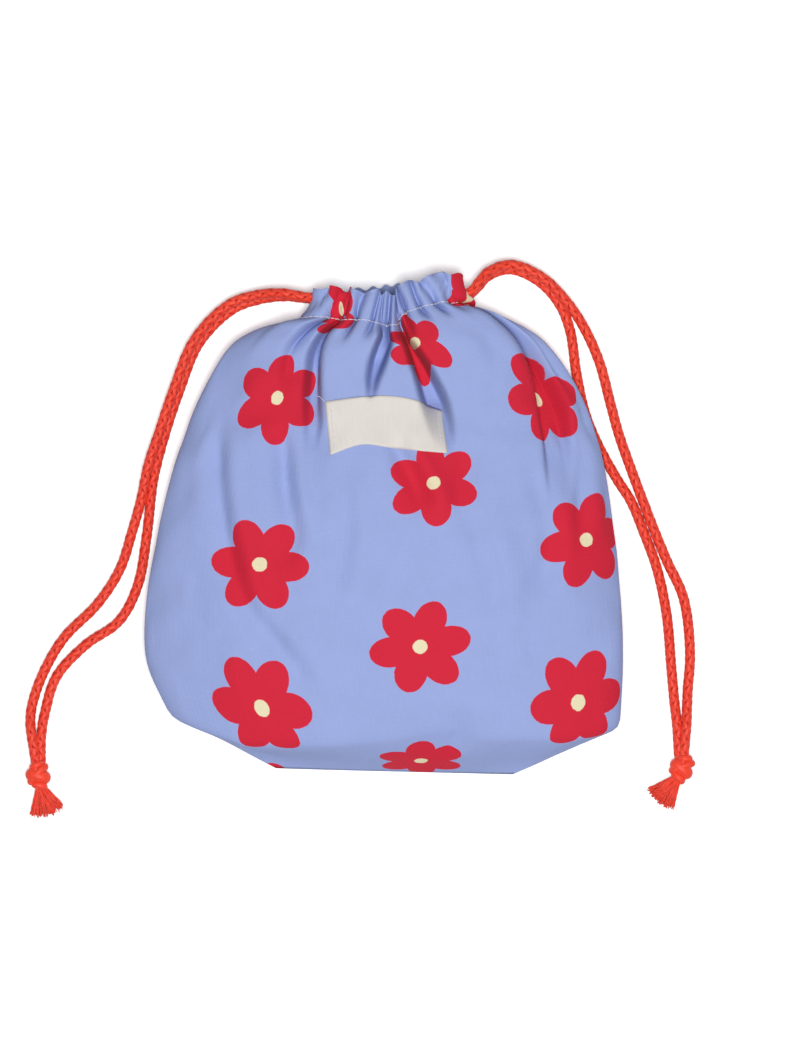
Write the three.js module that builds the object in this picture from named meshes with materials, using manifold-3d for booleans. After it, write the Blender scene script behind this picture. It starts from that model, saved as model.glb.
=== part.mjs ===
// Kinchaku drawstring pouch, lying on its back with its mouth towards +Y. Millimetres, +Z up.
// One folded cloth makes the body. Two cords run round the casing at its mouth and leave it
// at opposite sides, and the ends of each cord are tied together in a knot with a frayed tassel.
import * as THREE from "three";
import { mergeVertices } from "three/addons/utils/BufferGeometryUtils.js";
import Module from "manifold-3d";

const wasm = await Module();
wasm.setup();

// Body, seen from above
const bodyWidth = 220; // at its widest, below the middle
const bodyLength = 211; // bottom fold to the stitch line under the casing
const bottomFoldLength = 106;
const cornerWidth = 208; // between the boxed corners
const cornerRise = 23; // boxed corners above the bottom fold
const creaseRise = 13; // front crease of the base above the bottom fold, at the middle
const shoulderWidth = 143;
const shoulderDrop = 15; // shoulders below the stitch line
const mouthWidth = 62; // drawn-up mouth, along the middle of the casing
const mouthShift = 2.3; // the mouth sits a little to the right
const casingDepth = 14.5; // stitch line to the top hem

// Body, from the side
const crownHeight = 37; // highest point of the front
const creaseHeight = 33; // front crease of the base
const foldHeight = 6; // bottom fold
const seamHeight = 14; // side seams
const laneRadius = 9.2; // half the height between the front and back halves of the casing
const clothWall = 1.2;
const casingWall = 1.4; // cloth around the cord's tunnel

// Gathers
const pleatCount = 10; // across the front
const pleatDepth = 4; // on the front of the casing
const innerPleatDepth = 1.6;
const pleatReach = 60; // how far the small pleats run down the body
const hemRipple = 1.1;
// Big folds of the front: where each valley starts at the mouth and ends on the body, as a share of
// the half width there, then its depth, its width and its reach below the stitch line
const bigFolds = [
  { from: -0.8, to: -0.66, depth: 4.5, width: 0.1, reach: 84 },
  { from: -0.42, to: -0.38, depth: 7.5, width: 0.08, reach: 76 },
  { from: -0.04, to: -0.14, depth: 6.5, width: 0.065, reach: 62 },
  { from: 0.1, to: 0.3, depth: 6.5, width: 0.075, reach: 80 },
  { from: 0.52, to: 0.5, depth: 3.6, width: 0.09, reach: 66 },
  { from: 0.9, to: 0.79, depth: 8.5, width: 0.075, reach: 104 },
];

// Cords and knots
const cordDiameter = 4.6;
const cordClearance = 0.4; // around each cord in the casing
const cordSides = 10;
const cordSteps = 78;
const knotWidth = 10.4;
const knotLength = 12;
const knotHeight = 8.6;
const tasselLength = 17;
const tasselWidth = 19;
const tasselHeight = 5;
const restGap = 0.3; // cords and knots above the surface they lie on

// Label
const labelWidth = 54;
const labelHeight = 22;
const labelThickness = 0.5;
const labelGap = 0.5; // clear of the cloth
const labelRise = 147; // its lower edge above the bottom fold
const labelSlant = 2; // its right end lies lower

// Mesh steps
const frontSteps = 70;
const backSteps = 20;
const labelSteps = [18, 6];

// Places along the body's length, and lengths of cloth up from the bottom fold
const bottomY = -114.2;
const stitchY = bottomY + bodyLength;
const baseCloth = (cornerWidth - bottomFoldLength) / 2; // cloth from the bottom fold to the base crease
const neckCloth = 215; // where the body starts to narrow into the casing
const casingCloth = 274; // stitch line
const topCloth = casingCloth + casingDepth;
const laneZ = seamHeight - 1; // middle height of the casing
const bandHalf = cordDiameter / 2 + cordClearance + casingWall;

// Sections: how square each is, and how far the back is pressed flat where it lies on the table
const bodyRound = 2.3;
const backRound = 2.5;
const casingRound = 4;
const backPress = 1.12;
const foldRounding = 20; // cloth over which the back comes down from the bottom fold

// Rows of the body from the bottom fold to the hem: the cloth's length up to the row, half width,
// shift to the right, place along y at the sides and at the middle of the front,
// lean (right side higher), height of the side seams, height of the front and roundness of its section
const rowOf = (cloth, half, shift, side, middle, lean, seam, crown, round) => ({
  cloth,
  half,
  shift,
  side,
  middle,
  lean,
  seam,
  crown,
  round,
});
const midway = (share) => bottomY + share * bodyLength;
const rows = [
  rowOf(0, bottomFoldLength / 2, 6.3, bottomY, bottomY, 0, foldHeight, foldHeight, bodyRound),
  rowOf(baseCloth, cornerWidth / 2, 4.6, bottomY + cornerRise, bottomY + creaseRise, -3.7,
    seamHeight - 1, creaseHeight, bodyRound),
  rowOf(0.31 * casingCloth, 0.5 * bodyWidth, -0.3, midway(0.26), midway(0.232), 0,
    seamHeight, crownHeight, bodyRound),
  rowOf(0.515 * casingCloth, 0.48 * bodyWidth, 1.4, midway(0.527), midway(0.479), 0,
    seamHeight, crownHeight, bodyRound),
  rowOf(0.715 * casingCloth, 0.42 * bodyWidth, 4.4, midway(0.778), midway(0.706), -1,
    seamHeight, 0.945 * crownHeight, bodyRound),
  rowOf(0.847 * casingCloth, shoulderWidth / 2, 4, stitchY - shoulderDrop, midway(0.858), 0,
    laneZ, 0.865 * crownHeight, 2.6),
  rowOf(0.927 * casingCloth, 0.79 * mouthWidth, mouthShift, midway(0.981), midway(0.943), 2,
    laneZ, 0.745 * crownHeight, 3.2),
  rowOf(casingCloth, mouthWidth / 2, mouthShift, stitchY, stitchY, 2.5,
    laneZ, laneZ + laneRadius, casingRound),
  rowOf(topCloth, mouthWidth / 2, mouthShift, stitchY + casingDepth, stitchY + casingDepth, 2.5,
    laneZ, laneZ + laneRadius, casingRound),
];

// A row's value at any length of cloth: straight up to the base crease, and smooth above it
function at(cloth, name) {
  const last = rows.length - 1;
  let i = 0;
  while (i < last - 1 && cloth > rows[i + 1].cloth) i += 1;
  const [a, b] = [rows[i], rows[i + 1]];
  const span = b.cloth - a.cloth;
  const t = (cloth - a.cloth) / span;
  const rise = b[name] - a[name];
  if (i === 0 || i === last - 1) return a[name] + t * rise;
  const slope = (j) => (rows[j + 1][name] - rows[j - 1][name]) / (rows[j + 1].cloth - rows[j - 1].cloth);
  const out = (i === 1 ? rise / span : slope(i)) * span;
  const into = (i === last - 2 ? rise / span : slope(i + 1)) * span;
  const t2 = t * t;
  const t3 = t2 * t;
  return (2 * t3 - 3 * t2 + 1) * a[name] + (t3 - 2 * t2 + t) * out
    + (3 * t2 - 2 * t3) * b[name] + (t3 - t2) * into;
}

const smooth = (t) => {
  const c = Math.min(1, Math.max(0, t));
  return c * c * (3 - 2 * c);
};

// The cloth's middle surface without its gathers. The angle goes round the section from the right
// seam at 0 over the front to the left seam at PI, and on along the back.
function middleSurface(angle, cloth) {
  const front = Math.sin(angle) >= 0;
  const inCasing = smooth((cloth - neckCloth) / (casingCloth - neckCloth));
  const power = front ? at(cloth, "round") : THREE.MathUtils.lerp(backRound, casingRound, inCasing);
  const reach = (Math.abs(Math.cos(angle)) ** power + Math.abs(Math.sin(angle)) ** power) ** (-1 / power);
  const u = reach * Math.cos(angle);
  const seam = at(cloth, "seam");
  const pressed = THREE.MathUtils.lerp(backPress, 1, inCasing);
  const below = THREE.MathUtils.lerp(seam, laneRadius, inCasing) * pressed * smooth(cloth / foldRounding);
  const depth = front ? at(cloth, "crown") - seam : below;
  const lean = at(cloth, "lean") * u;
  const backMiddle = bottomY + (bodyLength * Math.min(cloth, casingCloth)) / casingCloth
    + Math.max(0, cloth - casingCloth);
  const middle = front ? at(cloth, "middle") : backMiddle;
  return new THREE.Vector3(
    at(cloth, "shift") + at(cloth, "half") * u,
    middle + (at(cloth, "side") - middle) * u * u + lean,
    seam + depth * reach * Math.sin(angle),
  );
}

// Outward normal of the middle surface
function normalAt(angle, cloth) {
  const step = 1e-3;
  const low = Math.max(1, cloth - 1);
  const across = middleSurface(angle + step, cloth).sub(middleSurface(angle - step, cloth));
  const along = middleSurface(angle, low + 2).sub(middleSurface(angle, low));
  return along.cross(across).normalize();
}

// Small pleats, from 0 in a valley to 1 on a ridge, unevenly spaced along the mouth
function pleat(u) {
  const uneven = u + 0.045 * Math.sin(5.1 * u + 0.6) + 0.02 * Math.sin(13 * u);
  return 0.5 + 0.5 * Math.cos(Math.PI * pleatCount * uneven);
}

// How far the gathers lift the front of the body
function gather(u, cloth) {
  const below = casingCloth - cloth;
  const fade = 1 - smooth(below / pleatReach);
  let lift = (pleat(u) - 0.5) * pleatDepth * fade;
  for (const fold of bigFolds) {
    const t = Math.max(0, below) / fold.reach;
    const centre = THREE.MathUtils.lerp(fold.from, fold.to, Math.min(1, t));
    const strength = smooth(t * 3) * (1 - smooth(t));
    lift -= fold.depth * strength * Math.exp(-(((u - centre) / fold.width) ** 2));
    lift += 0.45 * fold.depth * strength * Math.exp(-(((u - centre + 2 * fold.width) / fold.width) ** 2));
  }
  return lift;
}

// A point on the cloth's outer (side 1) or inner (side -1) face
function clothFace(angle, cloth, side) {
  const point = middleSurface(angle, cloth);
  const u = (point.x - at(cloth, "shift")) / at(cloth, "half");
  const front = smooth(Math.sin(angle) * 4);
  const share = (cloth - casingCloth) / casingDepth;
  const swell = share > 0 ? Math.sqrt(1 - Math.min(1, Math.abs(2 * share - 1)) ** 4) : 0;
  const pleats = (side > 0 ? pleatDepth : innerPleatDepth) * pleat(u) * front;
  const half = clothWall / 2 + swell * (bandHalf - clothWall / 2 + pleats);
  const lift = share > 0 ? gather(u, casingCloth) * front * (1 - swell) : gather(u, cloth) * front;
  point.addScaledVector(normalAt(angle, cloth), lift + side * half);
  point.y += hemRipple * Math.cos(Math.PI * pleatCount * u + 1) * smooth(share);
  point.z = Math.max(point.z, side > 0 ? 0 : clothWall);
  return point;
}

// Angles round the section, closer together over the middle of the front
const angles = [];
for (let i = 0; i < frontSteps; i += 1) {
  const w = i / frontSteps;
  angles.push(Math.PI * w + 0.12 * Math.sin(2 * Math.PI * w));
}
for (let i = 0; i < backSteps; i += 1) angles.push(Math.PI * (1 + i / backSteps));

const outerRows = [4, 26, baseCloth, 57, 80, 110, 142, 172, 196, 212, 226, 240, 252, 263, casingCloth,
  casingCloth + 0.08 * casingDepth, casingCloth + 0.25 * casingDepth, casingCloth + 0.7 * casingDepth,
  casingCloth + 0.93 * casingDepth, topCloth];
const innerRows = [topCloth, casingCloth + 0.9 * casingDepth, casingCloth + 0.3 * casingDepth, casingCloth,
  256, 234, 206, 160, 100, baseCloth, 6];

// The body as one closed shell: the bottom fold, the outer face up to the hem, the inner face back down
function bodyGeometry() {
  const foldRing = (shift, rise) => angles.map((angle) => {
    const p = middleSurface(angle, 0);
    const face = Math.sign(Math.round(9 * Math.sin(angle)));
    return new THREE.Vector3(p.x, p.y + shift, p.z + rise + (face * clothWall) / 4);
  });
  const rings = [
    foldRing(-clothWall / 2, 0),
    ...outerRows.map((cloth) => angles.map((angle) => clothFace(angle, cloth, 1))),
    ...innerRows.map((cloth) => angles.map((angle) => clothFace(angle, cloth, -1))),
    foldRing(clothWall, 0.4 * clothWall),
  ];
  const position = [];
  const face = (...points) => points.forEach((p) => position.push(p.x, p.y, p.z));
  for (let r = 0; r + 1 < rings.length; r += 1) {
    angles.forEach((_, i) => {
      const j = (i + 1) % angles.length;
      face(rings[r][i], rings[r + 1][i], rings[r + 1][j]);
      face(rings[r][i], rings[r + 1][j], rings[r][j]);
    });
  }
  const [bottom, inside] = [rings[0], rings[rings.length - 1]];
  const outline = (ring) => ring.map((p) => new THREE.Vector2(p.x, p.z));
  for (const [a, b, c] of THREE.ShapeUtils.triangulateShape(outline(bottom), [])) {
    face(bottom[a], bottom[b], bottom[c]);
  }
  for (const [a, b, c] of THREE.ShapeUtils.triangulateShape(outline(inside), [])) {
    face(inside[a], inside[c], inside[b]);
  }
  return new THREE.BufferGeometry().setAttribute("position", new THREE.Float32BufferAttribute(position, 3));
}

// Each cord's route, from its knot round the casing and back: the strand that leaves the front of the
// casing, the far turn inside the casing, and the strand that leaves the back of the casing. The cords
// move up and down with the casing.
const low = cordDiameter / 2 + restGap;
const routeStitchY = 96.8; // the stitch line's place in the routes
const leftRoute = [
  [-163, -111, low], [-164, -102, low], [-164.6, -92, low], [-162.8, -82, low], [-157.4, -67.9, low],
  [-148.5, -53.2, low], [-133, -37.5, low], [-122.6, -21.5, low], [-116.6, -3, low], [-112.6, 11, 3.6],
  [-108.9, 27.6, 6.4], [-104.2, 41.5, 7], [-97.2, 62.2, 7.1], [-87.4, 85.6, 7.2], [-71.4, 101.8, 7.6],
  [-58, 106.2, 9.6], [-45.6, 106.6, 13.4], [-34, 104.6, 15.7], [-20, 104.3, 20], [-8, 104.9, 22.2],
  [6, 106.1, 22.2], [20, 107.3, 22.2], [28.6, 108, 19.5], [31.4, 108.3, 13], [28.6, 108, 6.5],
  [20, 107.3, 3.8], [6, 106.1, 3.8], [-8, 104.9, 3.8], [-20, 104.3, 6.2], [-34, 104.4, 10.4],
  [-45.4, 105.6, 8], [-57.6, 104.3, 4.4], [-70, 99.8, low], [-85.4, 84.4, low], [-95, 61.3, low],
  [-102.4, 38.6, low], [-107, 20, low], [-110, -5.5, low], [-114.4, -29.5, low], [-123, -45.6, low],
  [-138.7, -56.8, low], [-152.2, -71.6, low], [-157.4, -88.6, low], [-158.4, -100, low], [-158.1, -111, low],
];
const rightRoute = [
  [141.8, -107.6, low], [142.2, -96, low], [142.2, -80, low], [143.4, -60.4, low], [140.4, -35, low],
  [132.6, -17.5, low], [126.6, -3, low], [121.2, 11, low], [115.8, 25.5, low], [110.2, 41.5, low],
  [106.3, 55.8, low], [101, 75.5, 2.8], [93.4, 92, 4.6], [84.5, 104.6, 6.6], [74, 114.6, 7.2],
  [60, 120.2, 8.8], [49, 116.6, 12.4], [41.4, 107.8, 15.6], [34, 103.2, 17.4], [24, 101.7, 20.6],
  [10, 100.8, 22.2], [-14, 98.8, 22.2], [-24, 98, 19.5], [-26.8, 97.7, 13], [-24, 98, 6.5],
  [-14, 98.8, 3.8], [10, 100.8, 3.8], [24, 101.7, 5.6], [34, 103, 9.6], [41.8, 107.4, 10],
  [49.6, 115.4, 7], [60, 118.4, 3.6], [73, 112.8, low], [82.4, 102.4, low], [87.4, 90, low],
  [90.4, 70, low], [94.6, 51, low], [100.6, 36.4, low], [109.4, 20.5, low], [116, 10, low],
  [121.6, -3.6, low], [127.8, -20.6, low], [132.4, -42, low], [134.6, -66.5, low], [136.6, -92, low],
  [136.8, -107.6, low],
];

const routePoint = ([x, y, z]) => new THREE.Vector3(x, y + stitchY - routeStitchY, z);
const routeCurve = (points) => new THREE.CatmullRomCurve3(points.map(routePoint));

function cordGeometry(route, radius) {
  const section = new THREE.Shape();
  for (let i = 0; i < cordSides; i += 1) {
    const angle = (2 * Math.PI * i) / cordSides;
    const [x, y] = [radius * Math.cos(angle), radius * Math.sin(angle)];
    if (i === 0) section.moveTo(x, y);
    else section.lineTo(x, y);
  }
  return new THREE.ExtrudeGeometry(section, { steps: cordSteps, extrudePath: routeCurve(route) });
}

function solidOf(geometry) {
  const bare = new THREE.BufferGeometry().setAttribute("position", geometry.getAttribute("position"));
  if (geometry.index) bare.setIndex(geometry.index);
  const merged = mergeVertices(bare, 1e-3);
  return new wasm.Manifold(new wasm.Mesh({
    numProp: 3,
    vertProperties: merged.getAttribute("position").array,
    triVerts: new Uint32Array(merged.index.array),
  }));
}

function geometryOf(solid) {
  const mesh = solid.getMesh();
  return new THREE.BufferGeometry()
    .setAttribute("position", new THREE.BufferAttribute(mesh.vertProperties, 3))
    .setIndex(new THREE.BufferAttribute(mesh.triVerts, 1));
}

// The casing's tunnel is cut by the cords' own routes, wider by the clearance
function cutTunnels(body) {
  const tunnelRadius = cordDiameter / 2 + cordClearance;
  return [leftRoute, rightRoute].reduce(
    (solid, route) => solid.subtract(solidOf(cordGeometry(route, tunnelRadius))),
    solidOf(body),
  );
}

// A knot with its frayed tassel. The knot lies along y, with the tassel turned from it.
function knotGeometry(tasselTurn) {
  const knotProfile = [[0, 0.5], [0.62, 0.47], [0.93, 0.36], [1, 0.22], [0.9, 0.06], [0.97, -0.08],
    [0.98, -0.24], [0.8, -0.4], [0.5, -0.5], [0, -0.52]];
  const knot = new THREE.LatheGeometry(
    knotProfile.map(([r, y]) => new THREE.Vector2((r * knotWidth) / 2, -y * knotLength)), 16);
  knot.rotateX(Math.PI);
  knot.scale(1, 1, knotHeight / knotWidth);
  const flare = [[0, 0], [0.28, 0], [0.5, 0.3], [0.82, 0.72], [1, 0.95], [0.72, 1], [0, 0.9]];
  const tassel = new THREE.LatheGeometry(
    flare.map(([r, y]) => new THREE.Vector2((r * tasselWidth) / 2, y * tasselLength)), 20);
  tassel.scale(1, 1, tasselHeight / tasselWidth);
  tassel.rotateZ(Math.PI + tasselTurn);
  tassel.translate(0, -0.38 * knotLength, (tasselHeight - knotHeight) / 2);
  return geometryOf(solidOf(knot).add(solidOf(tassel)));
}

// The label follows the front of the body, clear of it by the gap
function labelGeometry() {
  const [across, along] = labelSteps;
  const centreX = 1.9;
  const facePoint = (x, y) => {
    let [below, above] = [baseCloth, casingCloth];
    const pointAt = (cloth) => {
      const u = (x - at(cloth, "shift")) / at(cloth, "half");
      const power = at(cloth, "round");
      const height = (1 - Math.abs(u) ** power) ** (1 / power);
      return clothFace(Math.atan2(height, u), cloth, 1);
    };
    for (let i = 0; i < 30; i += 1) {
      const middle = (below + above) / 2;
      if (pointAt(middle).y < y) below = middle;
      else above = middle;
    }
    return pointAt(below).z;
  };
  const faces = [labelGap, labelGap + labelThickness].map((lift) => {
    const grid = [];
    for (let j = 0; j <= along; j += 1) {
      const line = [];
      for (let i = 0; i <= across; i += 1) {
        const x = centreX + labelWidth * (i / across - 0.5);
        const y = bottomY + labelRise + labelHeight * (j / along) - labelSlant * (i / across - 0.5);
        line.push(new THREE.Vector3(x, y, facePoint(x, y) + lift));
      }
      grid.push(line);
    }
    return grid;
  });
  const position = [];
  const quad = (a, b, c, d) => {
    for (const p of [a, b, c, a, c, d]) position.push(p.x, p.y, p.z);
  };
  const [under, over] = faces;
  for (let j = 0; j < along; j += 1) {
    for (let i = 0; i < across; i += 1) {
      quad(over[j][i], over[j][i + 1], over[j + 1][i + 1], over[j + 1][i]);
      quad(under[j][i], under[j + 1][i], under[j + 1][i + 1], under[j][i + 1]);
    }
    quad(under[j][0], over[j][0], over[j + 1][0], under[j + 1][0]);
    quad(over[j][across], under[j][across], under[j + 1][across], over[j + 1][across]);
  }
  for (let i = 0; i < across; i += 1) {
    quad(under[0][i], under[0][i + 1], over[0][i + 1], over[0][i]);
    quad(over[along][i], over[along][i + 1], under[along][i + 1], under[along][i]);
  }
  return new THREE.BufferGeometry().setAttribute("position", new THREE.Float32BufferAttribute(position, 3));
}

const clothMaterial = new THREE.MeshStandardMaterial({ color: 0x97a5da, roughness: 0.9, metalness: 0 });
const labelMaterial = new THREE.MeshStandardMaterial({ color: 0xded7d0, roughness: 0.85, metalness: 0 });
const cordMaterial = new THREE.MeshStandardMaterial({ color: 0xe24a2c, roughness: 0.6, metalness: 0 });

const pouch = new THREE.Group();
function addPiece(name, geometry, material) {
  const mesh = new THREE.Mesh(geometry, material);
  mesh.name = name;
  pouch.add(mesh);
  return mesh;
}

addPiece("pouch_body", geometryOf(cutTunnels(bodyGeometry())), clothMaterial);
addPiece("label", labelGeometry(), labelMaterial);
addPiece("left_cord", cordGeometry(leftRoute, cordDiameter / 2), cordMaterial);
addPiece("right_cord", cordGeometry(rightRoute, cordDiameter / 2), cordMaterial);

// Each knot sits just past its cord's two ends
function addKnot(name, route, tasselTurn) {
  const [first, last] = [routePoint(route[0]), routePoint(route[route.length - 1])];
  const knot = addPiece(name, knotGeometry(tasselTurn), cordMaterial);
  knot.position.set(
    (first.x + last.x) / 2,
    Math.min(first.y, last.y) - knotLength / 2 - restGap,
    knotHeight / 2 + restGap,
  );
}
addKnot("left_knot", leftRoute, 0.28);
addKnot("right_knot", rightRoute, -0.68);

export default pouch;
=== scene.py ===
import math
import bpy
import numpy as np
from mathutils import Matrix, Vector
from mathutils.bvhtree import BVHTree


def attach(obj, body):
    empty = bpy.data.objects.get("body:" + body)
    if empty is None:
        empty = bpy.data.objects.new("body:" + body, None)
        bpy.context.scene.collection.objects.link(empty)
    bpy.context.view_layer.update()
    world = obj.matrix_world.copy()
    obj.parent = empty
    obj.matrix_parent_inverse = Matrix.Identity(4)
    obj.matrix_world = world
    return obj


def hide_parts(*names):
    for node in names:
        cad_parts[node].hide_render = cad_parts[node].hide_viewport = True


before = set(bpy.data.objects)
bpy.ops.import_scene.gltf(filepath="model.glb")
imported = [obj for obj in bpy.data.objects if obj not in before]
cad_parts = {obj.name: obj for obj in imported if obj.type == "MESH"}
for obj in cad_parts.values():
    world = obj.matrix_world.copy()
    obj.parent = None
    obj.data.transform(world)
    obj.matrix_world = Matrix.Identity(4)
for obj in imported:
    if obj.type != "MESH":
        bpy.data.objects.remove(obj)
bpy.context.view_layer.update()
mm = 0.001
scene = bpy.context.scene


# Camera: straight down on the pouch, as in the photo
view = {
    "centre": (0.0081, -0.00185),
    "height": 0.4887,
    "atLevel": 0.014,
    "lens": 120,
    "sensor": 36,
}


def setCamera(spec):
    data = bpy.data.cameras.new("camera")
    data.lens = spec["lens"]
    data.sensor_width = spec["sensor"]
    data.clip_end = 20
    camera = bpy.data.objects.new("camera", data)
    distance = spec["height"] * spec["lens"] / spec["sensor"]
    camera.location = (*spec["centre"], spec["atLevel"] + distance)
    scene.collection.objects.link(camera)
    scene.camera = camera
    scene.view_settings.view_transform = "Standard"


setCamera(view)
print("camera set")


# Shader maths: a socket with operators, and one method for any other node
def operator(operation):
    def forward(self, other):
        return self.math(operation, self, other)

    def reflected(self, other):
        return self.math(operation, other, self)

    return forward, reflected


class Wire:
    __add__, __radd__ = operator("ADD")
    __sub__, __rsub__ = operator("SUBTRACT")
    __mul__, __rmul__ = operator("MULTIPLY")
    __truediv__, __rtruediv__ = operator("DIVIDE")
    __pow__, __rpow__ = operator("POWER")

    def __init__(self, tree, socket):
        self.tree = tree
        self.socket = socket

    def node(self, kind, settings, sockets, out=0):
        made = self.tree.nodes.new(kind)
        for name, value in settings.items():
            setattr(made, name, value)
        for name, value in sockets.items():
            if isinstance(value, Wire):
                self.tree.links.new(value.socket, made.inputs[name])
            else:
                made.inputs[name].default_value = value
        return Wire(self.tree, made.outputs[out])

    def math(self, operation, *values):
        return self.node("ShaderNodeMath", {"operation": operation}, dict(enumerate(values)))

    def below(self, edge, soft):
        settings = {"interpolation_type": "SMOOTHSTEP"}
        ends = {"From Min": edge - soft, "From Max": edge + soft, "To Min": 1.0, "To Max": 0.0}
        return self.node("ShaderNodeMapRange", settings, {"Value": self, **ends})

    # A Mix node for colours has its factor at socket 0, its colours at 6 and 7, its result at 2
    def mixed(self, low, high):
        return self.node("ShaderNodeMix", {"data_type": "RGBA"}, {0: self, 6: low, 7: high}, 2)

    def parts(self):
        split = self.tree.nodes.new("ShaderNodeSeparateXYZ")
        self.tree.links.new(self.socket, split.inputs[0])
        return [Wire(self.tree, out) for out in split.outputs]


def joined(x, y, z=0.0):
    return x.node("ShaderNodeCombineXYZ", {}, {"X": x, "Y": y, "Z": z})


def noise(place, scale, detail=3.0, rough=0.5):
    sockets = {"Vector": place, "Scale": scale, "Detail": detail, "Roughness": rough}
    return place.node("ShaderNodeTexNoise", {}, sockets)


def linear(red, green, blue):
    tone = []
    for part in (red / 255, green / 255, blue / 255):
        tone.append(part / 12.92 if part <= 0.04 else ((part + 0.055) / 1.055) ** 2.4)
    return (*tone, 1.0)


def newMaterial(name, constants):
    material = bpy.data.materials.new(name)
    material.use_nodes = True
    tree = material.node_tree
    shader = tree.nodes["Principled BSDF"]
    for socket, value in constants.items():
        shader.inputs[socket].default_value = value
    uv = tree.nodes.new("ShaderNodeTexCoord")
    return material, Wire(tree, uv.outputs["UV"]), shader


def plug(wire, shader, socket):
    wire.tree.links.new(wire.socket, shader.inputs[socket])


def bump(height, shader, strength, distance):
    sockets = {"Height": height, "Strength": strength, "Distance": distance}
    plug(height.node("ShaderNodeBump", {}, sockets), shader, "Normal")


# Mesh helpers
def addMesh(name, points, faces, material, uvs=None):
    mesh = bpy.data.meshes.new(name)
    mesh.from_pydata(np.asarray(points).tolist(), [], [list(map(int, f)) for f in faces])
    if uvs is not None:
        layer = mesh.uv_layers.new(name="UVMap")
        layer.data.foreach_set("uv", np.asarray(uvs, dtype=np.float32).ravel())
    mesh.polygons.foreach_set("use_smooth", [True] * len(mesh.polygons))
    mesh.materials.append(material)
    mesh.update()
    made = bpy.data.objects.new(name, mesh)
    scene.collection.objects.link(made)
    return made


def unit(vectors):
    return vectors / np.maximum(np.linalg.norm(vectors, axis=-1, keepdims=True), 1e-12)


def smooth(t):
    c = np.clip(t, 0, 1)
    return c * c * (3 - 2 * c)


def lengthAlong(line):
    steps = np.linalg.norm(np.diff(line, axis=0), axis=1)
    return np.concatenate([[0.0], np.cumsum(steps)])


def atLengths(line, places):
    along = lengthAlong(line)
    return np.stack([np.interp(places, along, line[:, i]) for i in range(3)], axis=1)


def evenly(line, step):
    whole = lengthAlong(line)[-1]
    count = max(2, int(round(whole / step)) + 1)
    return atLengths(line, np.linspace(0, whole, count))


def hermite(t, first, leave, last, enter):
    return ((2 * t**3 - 3 * t**2 + 1) * first + (t**3 - 2 * t**2 + t) * leave
            + (3 * t**2 - 2 * t**3) * last + (t**3 - t**2) * enter)


def curveThrough(points, perSpan=24):
    p = np.array(points, dtype=float)
    p = np.vstack([2 * p[0] - p[1], p, 2 * p[-1] - p[-2]])
    t = np.linspace(0, 1, perSpan, endpoint=False)[:, None]
    spans = []
    for a, b, c, d in zip(p, p[1:], p[2:], p[3:]):
        gaps = [max(np.sum((q - r) ** 2) ** 0.25, 1e-9) for q, r in ((b, a), (c, b), (d, c))]
        leave = ((b - a) / gaps[0] - (c - a) / (gaps[0] + gaps[1]) + (c - b) / gaps[1]) * gaps[1]
        enter = ((c - b) / gaps[1] - (d - b) / (gaps[1] + gaps[2]) + (d - c) / gaps[2]) * gaps[1]
        spans.append(hermite(t, b, leave, c, enter))
    return np.vstack([*spans, p[-2][None]])


def carriedFrame(line):
    tangent = unit(np.gradient(line, axis=0))
    across = np.zeros_like(line)
    side = np.cross(tangent[0], (0.0, 0.0, 1.0))
    if np.linalg.norm(side) < 1e-3:
        side = np.cross(tangent[0], (0.0, 1.0, 0.0))
    for i, along in enumerate(tangent):
        side = side - along * np.dot(side, along)
        side = side / np.linalg.norm(side)
        across[i] = side
    return tangent, across, np.cross(tangent, across)


def sweep(centres, sideA, sideB, sides):
    angles = 2 * np.pi * np.arange(sides) / sides
    rings = (centres[:, None] + np.cos(angles)[None, :, None] * sideA[:, None]
             + np.sin(angles)[None, :, None] * sideB[:, None])
    along = lengthAlong(centres)
    faces = []
    uvs = []
    for i in range(len(centres) - 1):
        for j in range(sides):
            k = (j + 1) % sides
            faces.append((i * sides + j, i * sides + k, (i + 1) * sides + k, (i + 1) * sides + j))
            low, high = j / sides, (j + 1) / sides
            uvs += [(along[i], low), (along[i], high), (along[i + 1], high), (along[i + 1], low)]
    last = (len(centres) - 1) * sides
    faces.append(tuple(range(sides))[::-1])
    faces.append(tuple(last + j for j in range(sides)))
    uvs += [(along[0], 0.0)] * sides + [(along[-1], 0.0)] * sides
    return rings.reshape(-1, 3), faces, uvs


def gatherParts(parts):
    points, faces, uvs, start = [], [], [], 0
    for p, f, u in parts:
        points.append(p)
        faces += [tuple(start + i for i in face) for face in f]
        uvs += u
        start += len(p)
    return np.vstack(points), faces, uvs


def tube(line, radius, sides):
    _, across, up = carriedFrame(line)
    size = np.broadcast_to(np.asarray(radius, dtype=float), (len(line),))[:, None]
    return sweep(line, across * size, up * size, sides)


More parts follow.
